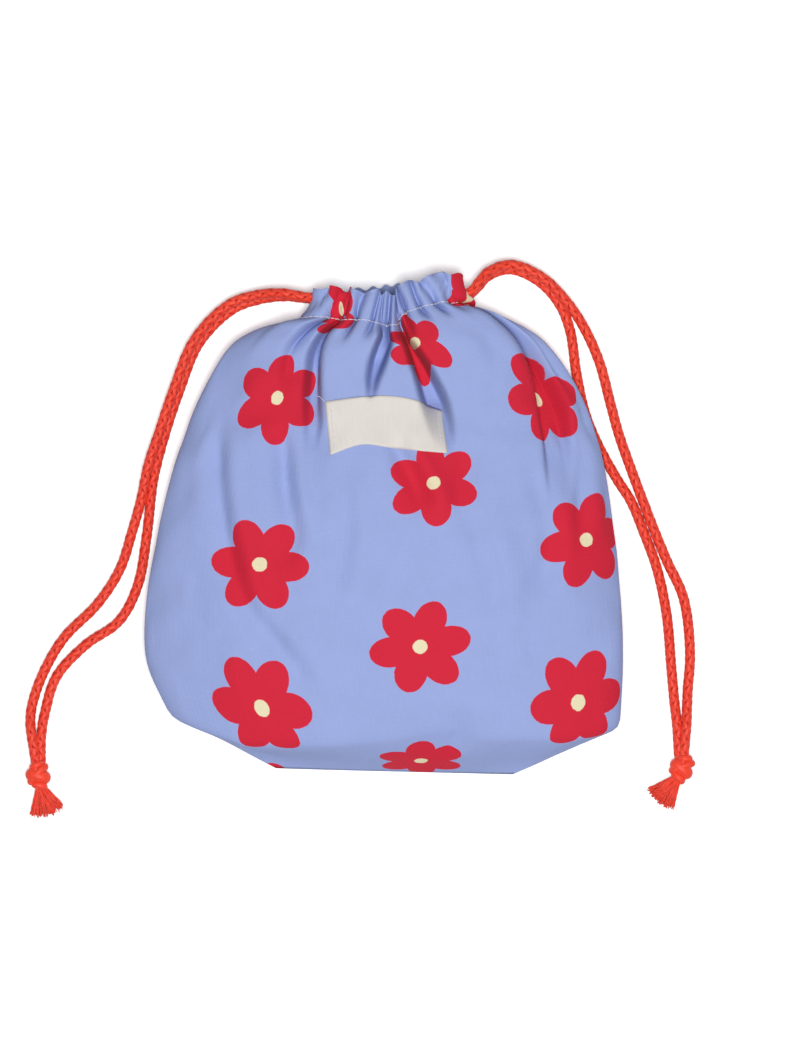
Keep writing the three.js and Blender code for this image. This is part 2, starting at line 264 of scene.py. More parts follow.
# Pouch: one cloth folded at the bottom, sewn at the sides, with boxed corners and a drawn-up casing
pouch = {
    "halfCut": 116.0,
    "bottomY": -114.2,
    "length": 211.0,
    "baseCloth": 51.0,
    "gatherCloth": 190.0,
    "neckCloth": 215.0,
    "casingCloth": 274.0,
    "casingDepth": 14.5,
    "casingHalf": 31.0,
    "casingShift": 2.3,
    "laneRadius": 9.2,
    "backRound": 2.5,
    "casingRound": 4.0,
    "backPress": 1.12,
    "backEase": 20.0,
    "backDrop": 0.5,
    "tunnel": 2.95,
    "tunnelRoom": 0.5,
    "pleatRise": 7.5,
    "pleatSideFall": 0.75,
    "fanIn": 0.26,
    "gatherReach": 66.0,
    "innerPleatDepth": 1.2,
    "backPleats": 9,
    "backPleatDepth": 2.4,
    "hemFrom": 0.82,
    "hemPinch": 0.15,
    "uprightFrom": 200.0,
    "uprightOver": 50.0,
    "lowest": 0.35,
    "thickness": 0.55 * mm,
    "frontColumns": 144,
    "backColumns": 48,
    "rows": (8, 20, 25),
    "firstRow": 0.6,
    "samples": (500, 300),
}
# Creases of the front: where each starts at the casing and ends on the body, from -1 at the left seam
# to 1 at the right one, then depth and reach in mm, the side that lies higher, and how far it overlaps
creases = [
    (-0.94, -0.8, 5.0, 46, 1, 0.8),
    (-0.75, -0.5, 8.5, 70, -1, 1.6),
    (-0.62, -0.6, 5.0, 13, 1, 0.6),
    (-0.5, -0.32, 6.0, 80, 1, 2.0),
    (-0.36, -0.34, 7.0, 26, 1, 1.0),
    (-0.2, -0.2, 5.0, 20, -1, 0.6),
    (-0.08, -0.08, 5.0, 12, 1, 0.5),
    (0.02, 0.0, 7.0, 22, 1, 0.6),
    (0.15, 0.08, 6.0, 19, 1, 0.8),
    (0.27, 0.18, 8.0, 24, 1, 1.5),
    (0.43, 0.4, 6.0, 13, 1, 0.8),
    (0.57, 0.56, 6.5, 15, -1, 0.8),
    (0.72, 0.7, 6.0, 16, -1, 0.8),
    (0.8, 0.66, 5.0, 110, -1, 2.4),
]
# Widths of a crease as shares of the half width, where a pair is at the casing and what is added below it
creaseForm = {
    "steepSide": (0.045, 0.015),
    "shortSide": 0.075,
    "longSide": (0.14, 0.15),
    "shortReach": 30,
    "strength": (1.2, 0.4),
    "sharpness": 1.4,
    "edgePlace": 0.5,
    "edgeWidth": 0.8,
}
# Deep gaps between folds: distance below the casing in mm, left edge, right edge, depth
gaps = [
    np.array([(0, -0.07, 0.06, 6), (5, -0.08, 0.06, 15), (14, -0.1, 0.05, 20), (30, -0.13, -0.015, 17),
              (42, -0.135, -0.065, 10), (56, -0.12, -0.1, 0)]),
    np.array([(2, 0.15, 0.2, 9), (18, 0.11, 0.175, 20), (34, 0.115, 0.225, 22), (54, 0.15, 0.285, 17),
              (66, 0.18, 0.29, 7), (80, 0.22, 0.28, 0)]),
    np.array([(4, -0.6, -0.5, 7), (22, -0.55, -0.44, 13), (42, -0.48, -0.38, 11), (66, -0.42, -0.34, 5),
              (84, -0.38, -0.34, 0)]),
    np.array([(4, 0.83, 0.93, 5), (24, 0.81, 0.92, 10), (48, 0.75, 0.9, 12), (72, 0.7, 0.86, 10),
              (100, 0.68, 0.8, 4), (122, 0.68, 0.74, 0)]),
]
gapForm = {
    "wall": 0.03,
    "lean": 0.07,
    "fadeUp": 6.0,
}
# How far the drawn-up casing lies above or below its straight line, in mm, from left to right
casingWave = {
    "across": (-1, -0.78, -0.55, -0.3, -0.05, 0.12, 0.22, 0.4, 0.65, 0.8, 0.9, 1),
    "rise": (0, 0.5, -1.5, -2.5, -5.2, -6.0, -1.5, 1.0, 3.0, 2.2, 2.0, 2.0),
    "hem": (-2, 0, -0.3, -0.3, 0, 0.5, 0, -1.6, 0, -0.8, -2.8, -5.5),
    "reach": 45.0,
}
# Ears at the ends of the casing: side, reach, height above the stitch line and half height in mm
ears = [(-1, 10.0, -2.5, 7.5), (1, 8.0, 2.2, 5.5)]
earFrom = 0.75
# Sideways sway of the hem: reach in mm, waves across and phase
hemSway = [(1.6, 8, 2.2), (0.8, 23, 0)]
hemRipple = {
    "height": 1.1,
    "waves": 31,
    "phase": 1,
    "wander": (2, 5),
}
# How far the base's front crease lies above or below its even curve, in mm, from left to right
baseWave = {
    "across": (-1, -0.66, -0.27, -0.02, 0.27, 0.36, 0.49, 0.78, 1),
    "rise": (-1.5, -7.5, -3.1, 1.7, 5.8, 2.5, 0.8, -1.4, 0),
    "reach": 22.0,
}
# Long thin wrinkles of the body: places across and lengths of cloth, then depth and half width in mm
wrinkles = [
    ([(-0.8, 190), (-0.68, 150), (-0.55, 112), (-0.33, 84)], 3.6, 5.0),
    ([(-0.5, 196), (-0.45, 172), (-0.38, 150)], 3.4, 4.5),
    ([(0.02, 196), (0.09, 182), (0.15, 166)], 3.6, 5.0),
    ([(0.84, 190), (0.82, 165), (0.8, 140)], 2.6, 5.0),
    ([(0.36, 150), (0.42, 122), (0.44, 96)], 2.0, 5.5),
    ([(-0.15, 96), (0.05, 88), (0.3, 90)], 1.6, 5.5),
    ([(-0.2, 176), (-0.17, 150), (-0.2, 120)], 1.6, 5.0),
    ([(0.62, 176), (0.66, 150), (0.64, 120)], 1.8, 5.0),
]
# How a wrinkle fades at its ends, and the ridge beside it: its share of the depth and its place
wrinkleForm = {
    "ease": 15.0,
    "ridge": 0.7,
    "ridgePlace": 1.9,
}
# Small crumples of the body: waves per metre across and along the cloth, phase, height in mm
crumples = [
    (22, 9, 0.4, 0.45), (-13, 26, 1.9, 0.4), (31, -17, 3.1, 0.3), (8, 37, 5.2, 0.28), (-41, -12, 2.4, 0.2),
]
crumpleForm = {
    "from": 62.0,
    "to": 240.0,
    "ease": 30.0,
    "sway": 1.3,
}
# Soft hollows of the body: place across and length of cloth, depth in mm, half width and half length
hollows = [
    (0.94, 236, 5.0, 0.1, 55), (-0.42, 150, 2.2, 0.1, 60), (0.34, 165, 2.0, 0.09, 46),
    (-0.1, 118, 1.4, 0.12, 50), (0.62, 110, 2.0, 0.12, 52), (-0.72, 120, 1.8, 0.1, 46),
    (0.12, 80, 1.3, 0.16, 30), (-0.3, 70, 1.2, 0.2, 26),
]
stitchY = pouch["bottomY"] + pouch["length"]
hemY = stitchY + pouch["casingDepth"]
nudge = 1e-3


def midway(share):
    return pouch["bottomY"] + share * pouch["length"]


# Rows of the cloth from the bottom fold to the hem: the length of cloth up to the row, half width and
# shift sideways, where its sides and its middle lie along the pouch, the lean from left to right,
# the heights of the seam and the crown, and the power of the row's rounding
rowNames = ("cloth", "half", "shift", "side", "middle", "lean", "seam", "crown", "round")
rowTable = np.array([
    (0, 55, 5.5, midway(0) - 1.4, midway(0) - 1.4, -1.4, 6, 6, 2.3),
    (pouch["baseCloth"], 105, 5.6, midway(0) + 23, midway(0) + 13, -3.7, 13, 33, 2.3),
    (85, 111, 0.7, midway(0.26), midway(0.232), 0, 14, 37, 2.3),
    (141, 105.6, 1.8, midway(0.527), midway(0.479), 0, 14, 37, 2.3),
    (196, 92.4, 4.4, midway(0.778), midway(0.706), -1, 14, 35, 2.3),
    (232, 72.5, 4, stitchY - 13.5, midway(0.858), 0, 13, 32, 2.6),
    (254, 51, 2.6, stitchY - 2.2, midway(0.943), 2, 13, 27.5, 3.2),
    (pouch["casingCloth"], pouch["casingHalf"], pouch["casingShift"], stitchY, stitchY, 2.5, 13, 22.2, 4),
    (pouch["casingCloth"] + pouch["casingDepth"], pouch["casingHalf"], pouch["casingShift"], hemY, hemY,
     2.5, 13, 22.2, 4),
])


def rowAt(cloth, name):
    column = rowTable[:, rowNames.index(name)]
    lengths = rowTable[:, 0]
    last = len(lengths) - 1
    i = min(max(int(np.searchsorted(lengths, cloth, side="left")) - 1, 0), last - 1)
    span = lengths[i + 1] - lengths[i]
    t = (cloth - lengths[i]) / span
    rise = column[i + 1] - column[i]
    if i == 0 or i == last - 1:
        return column[i] + t * rise

    def slope(j):
        return (column[j + 1] - column[j - 1]) / (lengths[j + 1] - lengths[j - 1])

    leave = (rise / span if i == 1 else slope(i)) * span
    enter = (rise / span if i == last - 2 else slope(i + 1)) * span
    return hermite(t, column[i], leave, column[i + 1], enter)


def middleSurface(angle, cloth):
    front = np.sin(angle) >= 0
    inCasing = smooth((cloth - pouch["neckCloth"]) / (pouch["casingCloth"] - pouch["neckCloth"]))
    backRound = pouch["backRound"] + (pouch["casingRound"] - pouch["backRound"]) * inCasing
    power = np.where(front, rowAt(cloth, "round"), backRound)
    reach = (np.abs(np.cos(angle)) ** power + np.abs(np.sin(angle)) ** power) ** (-1 / power)
    u = reach * np.cos(angle)
    seam = rowAt(cloth, "seam")
    pressed = pouch["backPress"] + (1 - pouch["backPress"]) * inCasing
    below = (seam + (pouch["laneRadius"] - seam) * inCasing) * pressed
    below = below * smooth(cloth / pouch["backEase"])
    depth = np.where(front, rowAt(cloth, "crown") - seam, below)
    upTheBody = min(cloth, pouch["casingCloth"]) / pouch["casingCloth"]
    backMiddle = midway(upTheBody) + max(0.0, cloth - pouch["casingCloth"])
    middle = np.where(front, rowAt(cloth, "middle"), backMiddle)
    return np.stack([
        rowAt(cloth, "shift") + rowAt(cloth, "half") * u,
        middle + (rowAt(cloth, "side") - middle) * u * u + rowAt(cloth, "lean") * u,
        seam + depth * reach * np.sin(angle),
    ], axis=1)


def normalAt(angle, cloth):
    base = max(1.0, cloth - 1)
    across = middleSurface(angle + nudge, cloth) - middleSurface(angle - nudge, cloth)
    along = middleSurface(angle, base + 2) - middleSurface(angle, base)
    return unit(np.cross(along, across))


def creaseFall(c, start, end, depth, reach, high, below, above):
    t = min(1.0, below / reach)
    away = c - (start * (1 - pouch["fanIn"] * above) + (end - start) * t)
    steep, steepMore = creaseForm["steepSide"]
    narrow = steep + steepMore * t
    wide, wideMore = creaseForm["longSide"]
    gentle = creaseForm["shortSide"] if reach < creaseForm["shortReach"] else wide + wideMore * t
    width = np.where(away * high > 0, narrow, gentle)
    full, fullMore = creaseForm["strength"]
    strength = (1 - smooth(t)) * (full + fullMore * smooth(3 * t))
    fall = np.maximum(0, 1 - np.abs(away) / width) ** creaseForm["sharpness"]
    fromEdge = away - creaseForm["edgePlace"] * high * narrow
    edge = np.exp(-((fromEdge / (creaseForm["edgeWidth"] * narrow)) ** 2))
    return depth * strength * fall, strength * edge


def casingShare(cloth):
    return max(0.0, (cloth - pouch["casingCloth"]) / pouch["casingDepth"])


def bell(away):
    return np.exp(-(away**2))


def frontGather(c, cloth):
    below = max(0.0, pouch["casingCloth"] - cloth)
    above = casingShare(cloth)
    rise = pouch["tunnel"] + pouch["pleatRise"]
    toSides = 1 - pouch["pleatSideFall"] * np.abs(c) ** 3
    lift = rise * toSides * (1 - smooth(below / pouch["gatherReach"]))
    aside = np.zeros_like(c)
    for start, end, depth, reach, high, overlap in creases:
        fall, edge = creaseFall(c, start, end, depth, reach, high, below, above)
        lift = lift - fall
        aside = aside - high * overlap * edge
    wall = gapForm["wall"]
    for gap in gaps:
        left, right, depth = (np.interp(below, gap[:, 0], gap[:, i]) for i in (1, 2, 3))
        depth = depth * (1 - smooth(gapForm["fadeUp"] * above))
        lift = lift - depth * smooth((c - left) / wall + 0.5) * smooth((right - c) / wall + 0.5)
        aside = aside + gapForm["lean"] * depth * (bell((c - left) / wall) - bell((c - right) / wall))
    for place, middle, depth, wide, long in hollows:
        lift = lift - depth * bell((c - place) / wide) * bell((cloth - middle) / long)
    lift = lift + crumpleRise(c, cloth) - wrinkleFall(c, cloth)
    return lift, aside


def crumpleRise(c, cloth):
    ease = crumpleForm["ease"]
    calm = smooth((cloth - crumpleForm["from"]) / ease) * (1 - smooth((cloth - crumpleForm["to"]) / ease))
    rise = np.zeros_like(c)
    for across, along, phase, high in crumples:
        waves = 2 * np.pi * (across * c * pouch["halfCut"] + along * cloth) * mm
        rise = rise + calm * high * np.sin(waves + phase + crumpleForm["sway"] * np.sin(0.5 * waves))
    return rise


def wrinkleFall(c, cloth):
    fall = np.zeros_like(c)
    ease = wrinkleForm["ease"]
    for places, depth, wide in wrinkles:
        across, lengths = np.array(places).T
        first, last = lengths.min() - ease, lengths.max() + ease
        if not first < cloth < last:
            continue
        middle = np.interp(cloth, lengths[::-1], across[::-1])
        ends = smooth((cloth - first) / (2 * ease)) * smooth((last - cloth) / (2 * ease))
        away = (c - middle) * pouch["halfCut"] / wide
        fall += depth * ends * (bell(away) - wrinkleForm["ridge"] * bell(away - wrinkleForm["ridgePlace"]))
    return fall


def backPleat(c):
    return (0.5 + 0.5 * np.cos(np.pi * pouch["backPleats"] * (c + 0.03 * np.sin(7 * c)))) ** 0.8


def columnPlaces(cloth):
    front, back = pouch["frontColumns"], pouch["backColumns"]
    overSamples, underSamples = pouch["samples"]
    overFine = np.linspace(0, np.pi, overSamples)
    fine = np.concatenate([overFine, np.linspace(np.pi, 2 * np.pi, underSamples)[1:]])
    along = lengthAlong(middleSurface(fine, cloth))
    turn = along[overSamples - 1]
    over = np.linspace(0, turn, front, endpoint=False)
    under = turn + np.linspace(0, along[-1] - turn, back, endpoint=False)
    angle = np.interp(np.concatenate([over, under]), along, fine)
    c = np.concatenate([1 - 2 * np.arange(front) / front, -1 + 2 * np.arange(back) / back])
    return angle, c


def clothLift(c, cloth, layer, over, under):
    share = casingShare(cloth)
    hem = smooth((share - pouch["hemFrom"]) / (1 - pouch["hemFrom"]))
    outer, aside = frontGather(c, cloth)
    if layer < 0:
        deep = smooth(share * 2.5) * (1 - hem)
        outer = outer + deep * (-pouch["tunnel"] - pouch["innerPleatDepth"] - outer)
    elif share > 0:
        above = np.maximum(outer, pouch["tunnel"] + pouch["tunnelRoom"]) * (1 - pouch["hemPinch"] * hem)
        outer = outer + smooth(share * 14) * (above - outer)
    swell = math.sqrt(1 - min(1, abs(2 * share - 1)) ** 4) if share > 0 else 0.0
    padding = swell * layer * pouch["tunnel"]
    fade = 1 - smooth((pouch["casingCloth"] - cloth) / pouch["gatherReach"])
    inward = -pouch["backPleatDepth"] * backPleat(c) * fade
    lift = over * outer + under * (inward + padding) + (1 - over - under) * padding
    return lift, aside * over


def drawUp(point, c, cloth, over, under):
    share = casingShare(cloth)
    fromLine = cloth - pouch["casingCloth"]
    near = 1 - smooth(-fromLine / casingWave["reach"])
    for side, reach, place, half in ears:
        point[:, 0] += side * reach * bell((fromLine - place) / half) * smooth((side * c - earFrom) * 4)
    for reach, waves, phase in hemSway:
        point[:, 0] += over * share * reach * np.sin(waves * c + phase)
    crease = bell((cloth - pouch["baseCloth"]) / baseWave["reach"])
    point[:, 1] -= pouch["backDrop"] * under * near
    point[:, 1] += over * crease * np.interp(c, baseWave["across"], baseWave["rise"])
    point[:, 1] += over * near * np.interp(c, casingWave["across"], casingWave["rise"])
    point[:, 1] += share * np.interp(c, casingWave["across"], casingWave["hem"])
    wander, wanderWaves = hemRipple["wander"]
    ripple = np.cos(hemRipple["waves"] * c + hemRipple["phase"] + wander * np.sin(wanderWaves * c))
    point[:, 1] += hemRipple["height"] * ripple * smooth(share)
    point[:, 2] = np.maximum(point[:, 2], pouch["lowest"])


def clothRow(cloth, layer):
    angle, c = columnPlaces(cloth)
    over = smooth(np.sin(angle) * 4)
    under = smooth(-np.sin(angle) * 4)
    lift, aside = clothLift(c, cloth, layer, over, under)
    sideways = unit(middleSurface(angle - nudge, cloth) - middleSurface(angle + nudge, cloth))
    outward = normalAt(angle, cloth)
    outward[:, 1] *= 1 - smooth((cloth - pouch["uprightFrom"]) / pouch["uprightOver"])
    point = middleSurface(angle, cloth) + unit(outward) * lift[:, None] + sideways * aside[:, None]
    drawUp(point, c, cloth, over, under)
    return point


def clothGrid():
    casing = pouch["casingCloth"]
    depth = pouch["casingDepth"]
    stops = (0, pouch["baseCloth"], pouch["gatherCloth"], casing)
    body = [0.0]
    for first, last, count in zip(stops, stops[1:], pouch["rows"]):
        body += list(np.linspace(first, last, count + 1)[1:])
    outer = casing + depth * np.array([0.1, 0.3, 0.55, 0.8, 0.95])
    inner = casing + depth * np.array([1.0, 0.94, 0.75, 0.5, 0.25, 0.06])
    rows = [(s, 1, s) for s in (*body, *outer)]
    rows += [(s, -1, 2 * (casing + depth) - s) for s in inner]
    points = np.stack([clothRow(max(s, pouch["firstRow"]), layer) for s, layer, _ in rows])
    return points, np.array([pattern for _, _, pattern in rows])


def clothFaces(rowCount):
    front, back = pouch["frontColumns"], pouch["backColumns"]
    columns = front + back
    ratio = front // back

    def spot(r, c):
        c = c % columns
        if r == 0 and c > front:
            c = front - (c - front) * ratio
        return r * columns + c

    faces = []
    for r in range(rowCount - 1):
        for c in range(columns):
            if r == 0 and c >= front:
                start = front - (c - front) * ratio
                edge = [start - i for i in range(ratio + 1)]
                faces.append([spot(1, c), spot(1, c + 1), *edge[::-1]])
            else:
                faces.append([spot(r, c), spot(r + 1, c), spot(r + 1, c + 1), spot(r, c + 1)])
    return faces


def patternPlace(row, column, pattern, onBack):
    front, back = pouch["frontColumns"], pouch["backColumns"]
    share = 1 - 2 * column / front if not onBack else -1 + 2 * (column - front) / back
    half = pouch["halfCut"] - max(0.0, pouch["baseCloth"] - pattern[row])
    return share * half * mm, (-pattern[row] if onBack else pattern[row]) * mm


def clothUvs(faces, pattern):
    front = pouch["frontColumns"]
    columns = front + pouch["backColumns"]
    ratio = front // pouch["backColumns"]
    uvs = []
    for face in faces:
        places = [divmod(i, columns) for i in face]
        upper = [c for r, c in places if r > 0]
        closing = all(c in (0, columns - 1) for c in upper) and any(c == columns - 1 for _, c in places)
        onBack = closing or any(c > front for c in upper)
        for r, c in places:
            if onBack and r == 0:
                c = front + (front - c) / ratio
            if onBack and r > 0 and c == 0:
                c = columns
            uvs.append(patternPlace(r, c, pattern, onBack))
    return uvs


print("pouch shape ready")


# Cords: each is one braided length, from its knot round the casing and back to the knot
cords = {
    "diameter": 4.6 * mm,
    "pitch": 27 * mm,
    "strandCentre": 1.66 * mm,
    "strandWeave": 0.2 * mm,
    "strandHalfWidth": 1.28 * mm,
    "strandHalfThickness": 0.62 * mm,
    "coreRadius": 1.5 * mm,
    "meetOver": 34 * mm,
    "meetShare": 0.62,
    "meetRise": 3.2 * mm,
    "step": 1.0 * mm,
    "strands": 8,
    "sides": 7,
    "coreSides": 6,
    "uneven": (0.06, 310.0, 2.1),
    "tone": (252, 84, 56),
    "shade": (214, 40, 26),
    # The edge colour is the painted shade along the strands' sides, where they meet
    "edge": (172, 24, 16),
    "roughness": 0.5,
}
floorGap = 0.15 * mm
# Routes from the knot to the casing, round it and back to the knot, in mm
low = 2.6
leftRoute = [
    (-163, -111, low), (-164, -102, low), (-164.6, -92, low), (-162.8, -82, low), (-157.4, -67.9, low),
    (-148.5, -53.2, low), (-133, -37.5, low), (-122.6, -21.5, low), (-116.6, -3, low), (-112.6, 11, 3.6),
    (-108.9, 27.6, 6.4), (-104.2, 41.5, 7), (-97.2, 62.2, 7.1), (-87.4, 85.6, 7.2), (-71.4, 101.8, 7.6),
    (-58, 106.2, 9.6), (-45.6, 106.6, 13.4), (-34, 104.6, 15.7), (-20, 104.3, 20), (-8, 104.9, 22.2),
    (6, 106.1, 22.2), (20, 107.3, 22.2), (28.6, 108, 19.5), (31.4, 108.3, 13), (28.6, 108, 6.5),
    (20, 107.3, 3.8), (6, 106.1, 3.8), (-8, 104.9, 3.8), (-20, 104.3, 6.2), (-34, 104.4, 10.4),
    (-45.4, 105.6, 8), (-57.6, 104.3, 4.4), (-70, 99.8, low), (-85.4, 84.4, low), (-95, 61.3, low),
    (-102.4, 38.6, low), (-107, 20, low), (-110, -5.5, low), (-114.4, -29.5, low), (-123, -45.6, low),
    (-138.7, -56.8, low), (-152.2, -71.6, low), (-157.4, -88.6, low), (-158.4, -100, low),
    (-158.1, -111, low),
]
rightRoute = [
    (141.8, -107.6, low), (142.2, -96, low), (142.2, -80, low), (143.4, -60.4, low), (140.4, -35, low),
    (132.6, -17.5, low), (126.6, -3, low), (121.2, 11, low), (115.8, 25.5, low), (110.2, 41.5, low),
    (106.3, 55.8, low), (101, 75.5, 2.8), (93.4, 92, 4.6), (84.5, 104.6, 6.6), (74, 114.6, 7.2),
    (60, 120.2, 8.8), (49, 116.6, 12.4), (41.4, 107.8, 15.6), (34, 103.2, 17.4), (24, 101.7, 20.6),
    (10, 100.8, 22.2), (-14, 98.8, 22.2), (-24, 98, 19.5), (-26.8, 97.7, 13), (-24, 98, 6.5),
    (-14, 98.8, 3.8), (10, 100.8, 3.8), (24, 101.7, 5.6), (34, 103, 9.6), (41.8, 107.4, 10),
    (49.6, 115.4, 7), (60, 118.4, 3.6), (73, 112.8, low), (82.4, 102.4, low), (87.4, 90, low),
    (90.4, 70, low), (94.6, 51, low), (100.6, 36.4, low), (109.4, 20.5, low), (116, 10, low),
    (121.6, -3.6, low), (127.8, -20.6, low), (132.4, -42, low), (134.6, -66.5, low), (136.6, -92, low),
    (136.8, -107.6, low),
]


def cordMaterial(name, spec):
    constants = {"Sheen Weight": 0.05, "Sheen Roughness": 0.4, "Specular IOR Level": 0.3}
    material, uv, shader = newMaterial(name, constants)
    along, around, _ = uv.parts()
    fibre = noise(joined(along * 260.0, around * 22.0), 1.0, 2.0)
    patch = noise(joined(along * 90.0, around * 2.0, 3.0), 1.0)
    tone = (fibre * 0.9 + patch * 0.7 - 0.3).mixed(linear(*spec["shade"]), linear(*spec["tone"]))
    # Painted shade: each strand is darkened along its two sides, where it meets its neighbours, towards the
    # edge colour, by an amount varied at random with the patch noise
    paintedStrandShade = around.math("COSINE", around * (4 * math.pi)) * 0.5 + 0.5
    paintedStrandShade = paintedStrandShade**2.0 * (patch * 0.5 + 0.5)
    plug(paintedStrandShade.mixed(tone, linear(*spec["edge"])), shader, "Base Color")
    plug(fibre * 0.16 + (spec["roughness"] - 0.08), shader, "Roughness")
    bump(fibre, shader, 0.5, 0.22 * mm)
    return material


def braid(line, spec):
    _, across, up = carriedFrame(line)
    along = lengthAlong(line)
    parts = []
    share, waves, phase = spec["uneven"]
    for k in range(spec["strands"]):
        turn = 1 if k % 2 else -1
        angle = turn * 2 * np.pi * along / spec["pitch"] + np.pi / 2 * (k // 2)
        lift = turn * np.cos(spec["strands"] * np.pi * along / spec["pitch"]) * spec["strandWeave"]
        out = np.cos(angle)[:, None] * across + np.sin(angle)[:, None] * up
        centre = line + out * (spec["strandCentre"] + lift)[:, None]
        ahead = unit(np.gradient(centre, axis=0))
        wide = unit(np.cross(ahead, out))
        thick = np.cross(wide, ahead)
        uneven = 1 + share * np.sin(along * waves + phase * k)
        parts.append(sweep(centre, wide * (spec["strandHalfWidth"] * uneven)[:, None],
                           thick * spec["strandHalfThickness"], spec["sides"]))
    parts.append(sweep(line, across * spec["coreRadius"], up * spec["coreRadius"], spec["coreSides"]))
    return gatherParts(parts)


cordLook = cordMaterial("drawstring", cords)


def declaredStrand(name, line, material):
    points, faces, uvs = braid(line, cords)
    points[:, 2] = np.maximum(points[:, 2], floorGap)
    strand = addMesh(name, points, faces, material, uvs)
    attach(strand, "root")
    return strand


def meeting(line, spec):
    count = int(spec["meetOver"] / spec["step"])
    near = smooth(1 - np.arange(count) / count)[:, None]
    one, other = line[:count], line[::-1][:count]
    centre = (one + other) / 2
    rise = np.array([0, 0, spec["meetRise"]]) * smooth(2 * near) * (1 - 0.5 * near)
    drawn = near * spec["meetShare"]
    bent = line.copy()
    bent[:count] = one + (centre - one) * drawn + rise
    bent[::-1][:count] = other + (centre - other) * drawn
    return bent


# How the run inside the casing follows the casing's wave, in mm and shares
hiddenRun = {
    "frontFrom": 8.0,
    "frontOver": 10.0,
    "endEase": 5.0,
    "hemShare": 1.3,
    "pullDown": 0.12,
    "openingOver": 9.0,
}


def insideCasing(line, opening):
    spec = hiddenRun
    x, y, z = (line / mm).T
    c = (x - pouch["casingShift"]) / pouch["casingHalf"]
    upTheCasing = np.clip((y - stitchY) / pouch["casingDepth"], 0, 1)
    over = smooth((z - spec["frontFrom"]) / spec["frontOver"]) * smooth((1 - np.abs(c)) * spec["endEase"])
    shift = over * np.interp(c, casingWave["across"], casingWave["rise"])
    shift += spec["hemShare"] * upTheCasing * np.interp(c, casingWave["across"], casingWave["hem"])
    shift -= spec["pullDown"] * (y - stitchY)
    bent = line.copy()
    bent[:, 1] += shift * smooth(np.abs(x - opening) / spec["openingOver"]) * mm
    return bent


# Where both ends of a cord go into its knot, from the knot's middle, in mm
knotEnds = np.array([(-1.7, 4.0, -1.0), (-0.6, 1.5, 0.0), (0.6, 1.5, 0.0), (1.7, 4.0, -1.0)])


def drawstring(side, route, opening, knot):
    ends = knotEnds * (math.copysign(1, route[-1][0] - route[0][0]), 1, 1) + knot
    whole = np.vstack([ends[1], ends[0], np.array(route), ends[3], ends[2]])
    line = meeting(evenly(curveThrough(whole * mm), cords["step"]), cords)
    inside = np.abs(line[:, 0]) < opening * mm
    first, last = np.argmax(inside), len(inside) - 1 - np.argmax(inside[::-1])
    front = line[: first + 1][::-1]
    hidden = insideCasing(line[first : last + 1], math.copysign(opening, route[0][0]))
    back = line[last:]
    made = [
        declaredStrand(f"{side}_front_strand", front, cordLook),
        declaredStrand(f"{side}_cord_in_casing", hidden, cordLook),
        declaredStrand(f"{side}_back_strand", back, cordLook),
    ]
    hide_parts(f"{side}_cord")
    print(side, "drawstring", round(lengthAlong(line)[-1], 3), "m, free",
          round(lengthAlong(front)[-1], 3), round(lengthAlong(back)[-1], 3))
    return made, front, back


leftKnotPlace = (-160.55, -117.3, 4.6)
rightKnotPlace = (139.3, -113.9, 4.6)
leftPieces, leftFront, leftBack = drawstring("left", leftRoute, 33, leftKnotPlace)
rightPieces, rightFront, rightBack = drawstring("right", rightRoute, 35, rightKnotPlace)
print("cords made")


# Knots and their frayed tassels. A wrap has its place along the knot, its tilt across and through it,
# its half width, half height and thickness, in mm
knots = {
    "wraps": [(4.6, 0.5, 0.2, 1.7, 1.6, 1.8), (-0.4, -1.0, 0.2, 2.6, 1.3, 3.2),
              (0.5, 3.0, 0.4, 3.7, 2.7, 1.7), (-4.8, -0.8, 0.2, 1.8, 1.5, 1.9)],
    "wrapSteps": 64,
    "wrapSides": 24,
    "turnShare": 0.5,
    "tasselStart": 5.4 * mm,
    "fibres": 170,
    "fibreSteps": 15,
    "fibreSides": 5,
    "fibreRadius": 0.36 * mm,
    "fibreLength": 14.5 * mm,
    "crimp": 0.14 * mm,
    "seed": 11,
}


def knotParts(centre, turn, spec):
    t = np.linspace(-0.5 * np.pi, 1.5 * np.pi, spec["wrapSteps"])
    cosine, sine = math.cos(turn * spec["turnShare"]), math.sin(turn * spec["turnShare"])
    sides = spec["wrapSides"]
    parts = []
    for place, tilt, through, wide, high, thick in spec["wraps"]:
        x, y = wide * np.cos(t), place + tilt * np.cos(t) + through * np.sin(t)
        ring = np.stack([x * cosine - y * sine, x * sine + y * cosine, high * np.sin(t)], axis=1)
        points, faces, uvs = tube(centre + ring * mm, thick * mm, sides)
        # Each side takes one whole wave of the shade painted along the cord's strand sides, which draws
        # plies along the wrap
        steps = [round(around * sides) - (i % 4 in (1, 2)) for i, (_, around) in enumerate(uvs)]
        parts.append((points, faces, [(along, 0.25 + 0.5 * step) for (along, _), step in zip(uvs, steps)]))
    return parts


